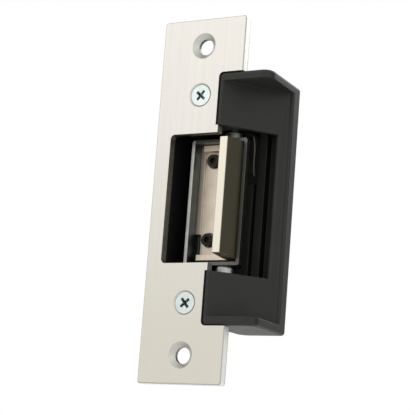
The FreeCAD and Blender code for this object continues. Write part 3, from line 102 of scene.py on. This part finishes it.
# ---------------------------------------------------------------- shader building
class Shader:
    """A small builder for one node material; every texture is in millimetres of the object."""

    def __init__(self, name):
        self.material = bpy.data.materials.new(name)
        self.material.use_nodes = True
        self.tree = self.material.node_tree
        self.surface = self.tree.nodes["Principled BSDF"]

    def node(self, kind, **settings):
        made = self.tree.nodes.new(f"ShaderNode{kind}")
        for key, value in settings.items():
            setattr(made, key, value)
        return made

    def plug(self, value, socket):
        """Link an output socket, or write a plain value, into an input socket."""
        if isinstance(value, bpy.types.NodeSocket):
            self.tree.links.new(value, socket)
        elif hasattr(value, "__len__") and len(value) == 3 and len(socket.default_value) == 4:
            socket.default_value = (*value, 1.0)
        else:
            socket.default_value = value

    def set(self, **inputs):
        for key, value in inputs.items():
            self.plug(value, self.surface.inputs[key.replace("_", " ")])

    def place(self, stretch=(1.0, 1.0, 1.0)):
        """Object coordinates in millimetres, divided by stretch along each axis."""
        coordinates = self.node("TexCoord")
        mapping = self.node("Mapping")
        mapping.inputs["Scale"].default_value = [1 / (MM * s) for s in stretch]
        self.plug(coordinates.outputs["Object"], mapping.inputs["Vector"])
        return mapping.outputs["Vector"]

    def noise(self, size, stretch=(1, 1, 1), detail=3.0, roughness=0.55, distortion=0.0):
        """Noise from 0 to 1 whose blobs are about size millimetres across."""
        texture = self.node("TexNoise")
        self.plug(self.place(stretch), texture.inputs["Vector"])
        texture.inputs["Scale"].default_value = 1 / size
        texture.inputs["Detail"].default_value = detail
        texture.inputs["Roughness"].default_value = roughness
        texture.inputs["Distortion"].default_value = distortion
        return texture.outputs["Fac"]

    def spread(self, value, low, high, start=0.3, end=0.7):
        """Map a value from start..end to low..high, clamped."""
        ranged = self.node("MapRange")
        self.plug(value, ranged.inputs["Value"])
        ranged.inputs["From Min"].default_value = start
        ranged.inputs["From Max"].default_value = end
        ranged.inputs["To Min"].default_value = low
        ranged.inputs["To Max"].default_value = high
        return ranged.outputs["Result"]

    def math(self, operation, first, second):
        made = self.node("Math", operation=operation)
        self.plug(first, made.inputs[0])
        self.plug(second, made.inputs[1])
        return made.outputs["Value"]

    def both(self, first, second):
        return self.math("MULTIPLY", first, second)

    def either(self, first, second):
        return self.math("MAXIMUM", first, second)

    def add(self, first, second):
        return self.math("ADD", first, second)

    def mix(self, factor, first, second):
        made = self.node("Mix", data_type="RGBA")
        self.plug(factor, made.inputs[0])
        self.plug(first, made.inputs[6])
        self.plug(second, made.inputs[7])
        return made.outputs[2]

    def rounded(self, radius):
        """A normal that rounds sharp edges by radius millimetres."""
        bevel = self.node("Bevel", samples=6)
        bevel.inputs["Radius"].default_value = radius * MM
        return bevel.outputs["Normal"]

    def edges(self, radius):
        """One on edges within radius millimetres and zero on flats."""
        geometry = self.node("NewGeometry")
        dot = self.node("VectorMath", operation="DOT_PRODUCT")
        self.plug(self.rounded(radius), dot.inputs[0])
        self.plug(geometry.outputs["Normal"], dot.inputs[1])
        return self.spread(dot.outputs["Value"], 1.0, 0.0, 0.75, 0.99)

    def facing(self, axis, start, end):
        """Zero to one as the object's own normal goes from start to end along one axis."""
        split = self.node("SeparateXYZ")
        self.plug(self.node("TexCoord").outputs["Normal"], split.inputs["Vector"])
        return self.spread(split.outputs[axis], 0.0, 1.0, start, end)

    def position(self, axis, start, end):
        """Zero to one between two places along one axis of the object, in millimetres."""
        split = self.node("SeparateXYZ")
        self.plug(self.place(), split.inputs["Vector"])
        return self.spread(split.outputs[axis], 0.0, 1.0, start, end)

    def outside(self, axis, start, end):
        """Zero to one going outwards between two places, on both sides of the middle."""
        return self.either(self.position(axis, start, end), self.position(axis, -start, -end))

    def open_air(self, distance):
        """One on open surfaces, falling to zero in corners narrower than distance millimetres."""
        occlusion = self.node("AmbientOcclusion", samples=8)
        occlusion.inputs["Distance"].default_value = distance * MM
        return occlusion.outputs["AO"]

    def bump(self, height, depth, radius):
        """Bumps of depth millimetres over edges rounded by radius millimetres."""
        made = self.node("Bump")
        made.inputs["Strength"].default_value = 1.0
        made.inputs["Distance"].default_value = depth * MM
        self.plug(height, made.inputs["Height"])
        self.plug(self.rounded(radius), made.inputs["Normal"])
        self.plug(made.outputs["Normal"], self.surface.inputs["Normal"])


def brushed_stainless(name):
    """Satin stainless sheet brushed along its length, with painted shade on its rolled rim,
    countersink cones, cut edges and lower part.
    """
    silver, pale_silver = (0.79, 0.77, 0.735), (0.87, 0.85, 0.82)
    warm_silver, dull_silver = (0.80, 0.775, 0.73), (0.73, 0.72, 0.68)
    pink_silver, shaded_low_silver = (0.84, 0.79, 0.76), (0.71, 0.69, 0.605)
    shaded_cut_dark, shaded_cut_light = (0.16, 0.16, 0.135), (0.24, 0.24, 0.21)
    side_pale, side_grey = (0.80, 0.80, 0.78), (0.45, 0.45, 0.43)
    painted_cone_shade, painted_rim_shade = (0.60, 0.60, 0.57), (0.42, 0.42, 0.40)

    shader = Shader(name)
    lines = shader.noise(0.12, stretch=(1, 1, 90), detail=4, roughness=0.6)
    bands = shader.noise(1.6, stretch=(1, 1, 40), detail=3)
    clouds = shader.noise(14, stretch=(1, 1, 2.2), detail=2)
    streaks = shader.noise(0.8, stretch=(1, 1, 60), detail=2)
    tone = shader.mix(shader.spread(lines, 0, 1), silver, pale_silver)
    tone = shader.mix(shader.spread(bands, 0, 0.7), tone, warm_silver)
    tone = shader.mix(shader.spread(streaks, 0, 0.5), tone, dull_silver)
    tone = shader.mix(shader.spread(clouds, 0, 0.4), tone, pink_silver)
    # Painted shade: the plate is painted darker towards the bottom.
    lower = shader.spread(shader.position("Z", *PLATE_SHADE_Z), 0, 0.75, 0, 1)
    tone = shader.mix(lower, tone, shaded_low_silver)

    # Painted shade: the countersink cones are painted grey by the direction they face.
    cone = shader.both(shader.facing("Y", -0.90, -0.80), shader.facing("Y", -0.55, -0.65))
    tone = shader.mix(cone, tone, painted_cone_shade)
    # Painted shade: the rolled rim round the front face is painted grey.
    perimeter = shader.either(shader.outside("X", *PLATE_RIM_X), shader.outside("Z", *PLATE_RIM_Z))
    not_back = shader.facing("Y", 0.50, 0.25)
    rim = shader.both(shader.both(perimeter, not_back), shader.facing("Y", -0.985, -0.88))
    tone = shader.mix(rim, tone, painted_rim_shade)

    # Painted shade: the inner cut edges are painted near black, over their real shear marks.
    shear_marks = shader.spread(shader.noise(0.35, stretch=(1, 5, 1)), 0, 1)
    cut = shader.mix(shear_marks, shaded_cut_dark, shaded_cut_light)
    side = shader.mix(shader.position("Y", *PLATE_BACK_EDGE_Y), side_pale, side_grey)
    sheared_and_shaded = shader.mix(perimeter, cut, side)
    edge_on = shader.both(shader.facing("Y", -0.50, -0.25), not_back)
    tone = shader.mix(edge_on, tone, sheared_and_shaded)

    rough = shader.add(shader.spread(lines, 0.36, 0.50), shader.spread(clouds, 0, 0.05))
    shader.set(Base_Color=tone, Metallic=1.0, Roughness=rough, Anisotropic=0.4)
    shader.bump(lines, depth=0.004, radius=0.2)
    return shader.material


def plated_metal(name, base, dark, roughness, edge=(0.85, 0.86, 0.86)):
    """A plated or ground metal part: cloudy tone, fine grain and brighter rubbed edges."""
    shader = Shader(name)
    clouds = shader.noise(3.0, detail=4)
    grains = shader.noise(0.18, detail=3)
    tone = shader.mix(shader.spread(clouds, 0, 1), base, dark)
    tone = shader.mix(shader.both(shader.edges(0.25), 0.6), tone, edge)
    rough = shader.add(shader.spread(clouds, roughness - 0.06, roughness + 0.08),
                       shader.spread(grains, -0.03, 0.05))
    shader.set(Base_Color=tone, Metallic=1.0, Roughness=rough)
    shader.bump(grains, depth=0.006, radius=0.15)
    return shader.material


def zinc_screw(name):
    """Bright zinc plating with a cool tint, with painted shade inside the cross recess."""
    bright_zinc, dull_zinc, recess_painted_shade = (0.80, 0.86, 0.85), (0.68, 0.75, 0.74), (0.42, 0.50, 0.50)
    shader = Shader(name)
    clouds = shader.noise(2.0, detail=3)
    grains = shader.noise(0.15, detail=3)
    tone = shader.mix(shader.spread(clouds, 0, 1), bright_zinc, dull_zinc)
    # Painted shade: the cross recess is painted darker where ambient occlusion finds it closed in.
    recess = shader.spread(shader.open_air(1.2), 1.0, 0.0, 0.25, 0.55)
    tone = shader.mix(recess, tone, recess_painted_shade)
    rough = shader.add(shader.spread(clouds, 0.26, 0.36), shader.spread(grains, -0.03, 0.04))
    shader.set(Base_Color=tone, Metallic=1.0, Roughness=rough)
    shader.bump(grains, depth=0.005, radius=0.12)
    return shader.material


def dark_nickel(name):
    """Smoky plating of the keeper's tray, with painted light on its left rim and painted shade in
    its corners.
    """
    smoke, dark_smoke = (0.17, 0.175, 0.165), (0.13, 0.135, 0.125)
    shaded_side, corner_painted_shade = (0.02, 0.022, 0.02), (0.035, 0.04, 0.037)
    painted_lit_rim_steel, glint, boss_steel = (0.78, 0.79, 0.77), (0.13, 0.16, 0.17), (0.50, 0.50, 0.47)

    shader = Shader(name)
    clouds = shader.noise(2.4, detail=3)
    grains = shader.noise(0.16, detail=3)
    glints = shader.noise(1.2, stretch=(1, 1, 12), detail=2)
    tone = shader.mix(shader.spread(clouds, 0, 1), smoke, dark_smoke)
    tone = shader.mix(shader.facing("X", 0.55, 0.90), tone, shaded_side)
    # Painted light: the tray's left rim is painted bright.
    rim = shader.both(shader.facing("Y", -0.60, -0.95), shader.position("X", *TRAY_RIM_X))
    tone = shader.mix(shader.both(rim, shader.spread(clouds, 0.8, 1.0)), tone, painted_lit_rim_steel)
    # Painted shade: corners and hollows are painted darker by ambient occlusion.
    corners = shader.spread(shader.open_air(4.0), 0.75, 0.0, 0.2, 0.8)
    tone = shader.mix(corners, tone, corner_painted_shade)
    wall = shader.both(shader.facing("X", 0.50, 0.90), shader.position("X", *TRAY_WALL_X))
    tone = shader.mix(shader.both(wall, shader.spread(glints, 0.5, 1.0)), tone, glint)
    tone = shader.mix(shader.position("Z", *LOWER_BOSS_Z), tone, boss_steel)
    tone = shader.mix(shader.position("Z", *UPPER_BOSS_Z), tone, smoke)
    rough = shader.add(shader.spread(clouds, 0.30, 0.42), shader.spread(grains, -0.02, 0.05))
    shader.set(Base_Color=tone, Metallic=1.0, Roughness=rough)
    shader.bump(grains, depth=0.006, radius=0.2)
    return shader.material


def nickel_casting(name):
    """Warm nickel over a casting: polished lip edge and satin floor, with painted dark bronze shade
    on its right flank and painted shade in its corners.
    """
    warm_nickel, dull_nickel = (0.80, 0.70, 0.59), (0.70, 0.61, 0.51)
    polished, bronze, corner_painted_shade = (0.84, 0.79, 0.68), (0.056, 0.051, 0.034), (0.05, 0.04, 0.03)

    shader = Shader(name)
    clouds = shader.noise(5.0, detail=2)
    grains = shader.noise(0.16, detail=3)
    tone = shader.mix(shader.spread(clouds, 0, 1), warm_nickel, dull_nickel)
    tone = shader.mix(shader.position("Y", *LIP_EDGE_Y), tone, polished)
    # Painted shade: the right flank, which faces +X, is painted dark bronze.
    flank = shader.both(shader.facing("X", 0.35, 0.80), shader.position("X", *LIP_FLANK_X))
    tone = shader.mix(flank, tone, bronze)
    # Painted shade: corners are painted darker by ambient occlusion.
    corners = shader.spread(shader.open_air(1.5), 0.6, 0.0, 0.2, 0.7)
    tone = shader.mix(corners, tone, corner_painted_shade)
    rough = shader.add(shader.spread(clouds, 0.32, 0.44), shader.spread(grains, -0.02, 0.05))
    shader.set(Base_Color=tone, Metallic=1.0, Roughness=rough)
    shader.bump(grains, depth=0.006, radius=0.25)
    return shader.material


def black_casting(name):
    """Satin black enamel over a die casting, with a fine orange-peel and slightly rubbed edges."""
    enamel, worn_enamel = (0.018, 0.018, 0.0155), (0.024, 0.024, 0.021)
    rubbed_edge, painted_side_shade = (0.05, 0.05, 0.048), (0.006, 0.006, 0.007)

    shader = Shader(name)
    peel = shader.noise(0.35, detail=4, roughness=0.6)
    clouds = shader.noise(9, detail=3)
    tone = shader.mix(shader.spread(clouds, 0, 1), enamel, worn_enamel)
    rubbed = shader.both(shader.edges(0.35), shader.spread(peel, 0.1, 0.5))
    tone = shader.mix(rubbed, tone, rubbed_edge)
    # Painted shade: faces turned to +X are painted darker.
    outer_side = shader.facing("X", 0.75, 0.99)
    tone = shader.mix(outer_side, tone, painted_side_shade)
    rough = shader.add(shader.spread(peel, 0.40, 0.50), shader.spread(clouds, 0, 0.06))
    shine = shader.spread(outer_side, 0.3, 0.2, 0, 1)
    shader.set(Base_Color=tone, Metallic=0.0, Roughness=rough, Specular_IOR_Level=shine)
    shader.bump(peel, depth=0.010, radius=0.5)
    return shader.material


def moulded_plastic(name, base, dark, roughness, translucency=0.0):
    """Moulded plastic or rubber with a faint flow mottling."""
    shader = Shader(name)
    flow = shader.noise(2.5, detail=3, distortion=0.4)
    grain = shader.noise(0.12, detail=2)
    tone = shader.mix(shader.spread(flow, 0, 1), base, dark)
    rough = shader.spread(grain, roughness - 0.05, roughness + 0.07)
    shader.set(Base_Color=tone, Roughness=rough)
    shader.set(Subsurface_Weight=translucency, Subsurface_Scale=0.6 * MM)
    shader.bump(grain, depth=0.006, radius=0.15)
    return shader.material


def copper_winding(name):
    """Enamelled wire wound side by side, as fine ribs round the coil."""
    painted_groove_shade, crest = (0.28, 0.09, 0.03), (0.62, 0.26, 0.10)
    shader = Shader(name)
    wave = shader.node("TexWave", bands_direction="Z")
    shader.plug(shader.place(), wave.inputs["Vector"])
    wave.inputs["Scale"].default_value = 1.4
    ribs = wave.outputs["Fac"]
    # Painted shade: the grooves between the ribs are painted darker.
    tone = shader.mix(ribs, painted_groove_shade, crest)
    rough = shader.spread(shader.noise(1.0), 0.25, 0.4)
    shader.set(Base_Color=tone, Metallic=0.9, Roughness=rough)
    shader.bump(ribs, depth=0.06, radius=0.1)
    return shader.material


SPECIAL = {
    "brushed_stainless": brushed_stainless,
    "zinc_screw": zinc_screw,
    "black_casting": black_casting,
    "dark_nickel": dark_nickel,
    "nickel_casting": nickel_casting,
    "enamelled_copper": copper_winding,
}

METALS = {
    "black_oxide": dict(base=(0.05, 0.04, 0.035), dark=(0.03, 0.025, 0.022), roughness=0.42,
                        edge=(0.12, 0.11, 0.10)),
    "hardened_steel": dict(base=(0.42, 0.42, 0.43), dark=(0.33, 0.33, 0.34), roughness=0.28),
    "bronze": dict(base=(0.50, 0.34, 0.17), dark=(0.36, 0.23, 0.11), roughness=0.36,
                   edge=(0.75, 0.58, 0.35)),
    "spring_steel": dict(base=(0.08, 0.08, 0.075), dark=(0.05, 0.05, 0.048), roughness=0.42,
                         edge=(0.11, 0.11, 0.105)),
    "zinc_steel": dict(base=(0.62, 0.62, 0.60), dark=(0.48, 0.49, 0.48), roughness=0.32),
    "soft_iron": dict(base=(0.52, 0.52, 0.51), dark=(0.40, 0.40, 0.40), roughness=0.30),
    "tinned_contact": dict(base=(0.74, 0.73, 0.69), dark=(0.60, 0.59, 0.55), roughness=0.24),
}

PLASTICS = {
    "natural_nylon": dict(base=(0.80, 0.77, 0.68), dark=(0.74, 0.70, 0.60), roughness=0.45,
                          translucency=0.25),
    "yellow_tape": dict(base=(0.78, 0.60, 0.07), dark=(0.70, 0.50, 0.05), roughness=0.25),
    "red_insulation": dict(base=(0.55, 0.02, 0.02), dark=(0.44, 0.015, 0.015), roughness=0.38),
    "black_insulation": dict(base=(0.018, 0.018, 0.018), dark=(0.012, 0.012, 0.012),
                             roughness=0.38),
    "black_rubber": dict(base=(0.022, 0.022, 0.022), dark=(0.014, 0.014, 0.014), roughness=0.62),
}


def assign_materials():
    """Give every CAD node the material of its slot in the record."""
    made = {name: maker(name) for name, maker in SPECIAL.items()}
    made.update({name: plated_metal(name, **look) for name, look in METALS.items()})
    made.update({name: moulded_plastic(name, **look) for name, look in PLASTICS.items()})
    for entry in frame["record"]["subparts"]:
        item = frame["nodes"][entry["node"]]
        for slot in item.material_slots:
            slot.material = made[entry["material_slot"]]


# ---------------------------------------------------------------- springs shown as copies of their CAD meshes
def stand_in(node):
    """A copy of a CAD node's mesh that is shown in its place."""
    source = frame["nodes"][node]
    piece = bpy.data.objects.new(f"{node}_wire", source.data.copy())
    for own, original in zip(piece.material_slots, source.material_slots):
        own.material = original.material
    bpy.context.scene.collection.objects.link(piece)
    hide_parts(node)
    return piece


def make_springs():
    """The keeper's spring is copied in place; the plunger's is copied and attached to the strike
    body.
    """
    torsion = stand_in("keeper_spring")
    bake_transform(torsion)

    compression = stand_in("plunger_spring")
    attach(compression, "strike_body")
    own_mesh(compression)


# ---------------------------------------------------------------- stage, light and camera
def make_world():
    """Even white surroundings, a little darker below; the camera sees plain white."""
    world = bpy.data.worlds.new("studio")
    bpy.context.scene.world = world
    world.use_nodes = True
    tree = world.node_tree
    background = tree.nodes["Background"]
    background.inputs["Color"].default_value = (*WORLD_WHITE, 1)
    plain = tree.nodes.new("ShaderNodeBackground")
    plain.inputs["Color"].default_value = (1, 1, 1, 1)
    plain.inputs["Strength"].default_value = 1.0
    coordinates = tree.nodes.new("ShaderNodeTexCoord")
    split = tree.nodes.new("ShaderNodeSeparateXYZ")
    ramp = tree.nodes.new("ShaderNodeMapRange")
    ramp.inputs["From Min"].default_value = -1.0
    ramp.inputs["From Max"].default_value = 1.0
    ramp.inputs["To Min"].default_value = WORLD_LOW
    ramp.inputs["To Max"].default_value = 1.0
    tree.links.new(coordinates.outputs["Generated"], split.inputs["Vector"])
    tree.links.new(split.outputs["Z"], ramp.inputs["Value"])
    tree.links.new(ramp.outputs["Result"], background.inputs["Strength"])
    paths = tree.nodes.new("ShaderNodeLightPath")
    choose = tree.nodes.new("ShaderNodeMixShader")
    tree.links.new(paths.outputs["Is Camera Ray"], choose.inputs["Fac"])
    tree.links.new(background.outputs["Background"], choose.inputs[1])
    tree.links.new(plain.outputs["Background"], choose.inputs[2])
    tree.links.new(choose.outputs["Shader"], tree.nodes["World Output"].inputs["Surface"])


def area_light(name, place, target, size, power):
    """A rectangular lamp of the given size and power in watts, aimed at the target."""
    data = bpy.data.lights.new(name, "AREA")
    data.shape = "RECTANGLE"
    data.size, data.size_y = size
    data.energy = power
    item = bpy.data.objects.new(name, data)
    item.location = place
    item.rotation_euler = (target - Vector(place)).to_track_quat("-Z", "Y").to_euler()
    bpy.context.scene.collection.objects.link(item)


def make_lights():
    low, high = CAD_BOX
    middle = (low + high) / 2
    area_light("key", (-0.35, -0.60, 0.55), middle, (0.8, 0.8), 0.8)
    area_light("fill", (0.70, -0.35, 0.25), middle, (0.6, 0.8), 0.6)
    area_light("rim", (0.2, 0.6, 0.5), middle, (0.5, 0.5), 2.0)


def make_floor():
    """A plain pale floor below the strike."""
    low, _ = CAD_BOX
    mesh = bpy.data.meshes.new("floor")
    signs = [(-1, -1), (1, -1), (1, 1), (-1, 1)]
    corners = [(FLOOR_HALF * sign_x, FLOOR_HALF * sign_y, 0) for sign_x, sign_y in signs]
    mesh.from_pydata(corners, [], [(0, 1, 2, 3)])
    floor = bpy.data.objects.new("floor", mesh)
    floor.location.z = low.z - FLOOR_DROP
    bpy.context.scene.collection.objects.link(floor)
    shader = Shader("floor_paper")
    paper = shader.mix(shader.noise(60), (0.80, 0.80, 0.79), (0.83, 0.83, 0.82))
    shader.set(Base_Color=paper, Roughness=0.8)
    mesh.materials.append(shader.material)


def make_camera():
    """Aim along the azimuth and elevation at the target, then roll about the line of sight."""
    back = Vector((math.sin(CAMERA_AZIMUTH) * math.cos(CAMERA_ELEVATION),
                   -math.cos(CAMERA_AZIMUTH) * math.cos(CAMERA_ELEVATION),
                   math.sin(CAMERA_ELEVATION)))
    level = Vector((math.cos(CAMERA_AZIMUTH), math.sin(CAMERA_AZIMUTH), 0))
    rise = level.cross(-back)
    right = level * math.cos(CAMERA_ROLL) + rise * math.sin(CAMERA_ROLL)
    up = rise * math.cos(CAMERA_ROLL) - level * math.sin(CAMERA_ROLL)
    data = bpy.data.cameras.new("camera")
    data.lens = CAMERA_LENS
    data.sensor_width = CAMERA_SENSOR
    camera = bpy.data.objects.new("camera", data)
    turn = Matrix((right, up, back)).transposed().to_4x4()
    camera.matrix_world = Matrix.Translation(CAMERA_TARGET + back * CAMERA_DISTANCE) @ turn
    bpy.context.scene.collection.objects.link(camera)
    bpy.context.scene.camera = camera


assign_materials()
make_springs()
make_world()
make_lights()
make_floor()
make_camera()
bpy.context.scene.view_settings.view_transform = "Standard"
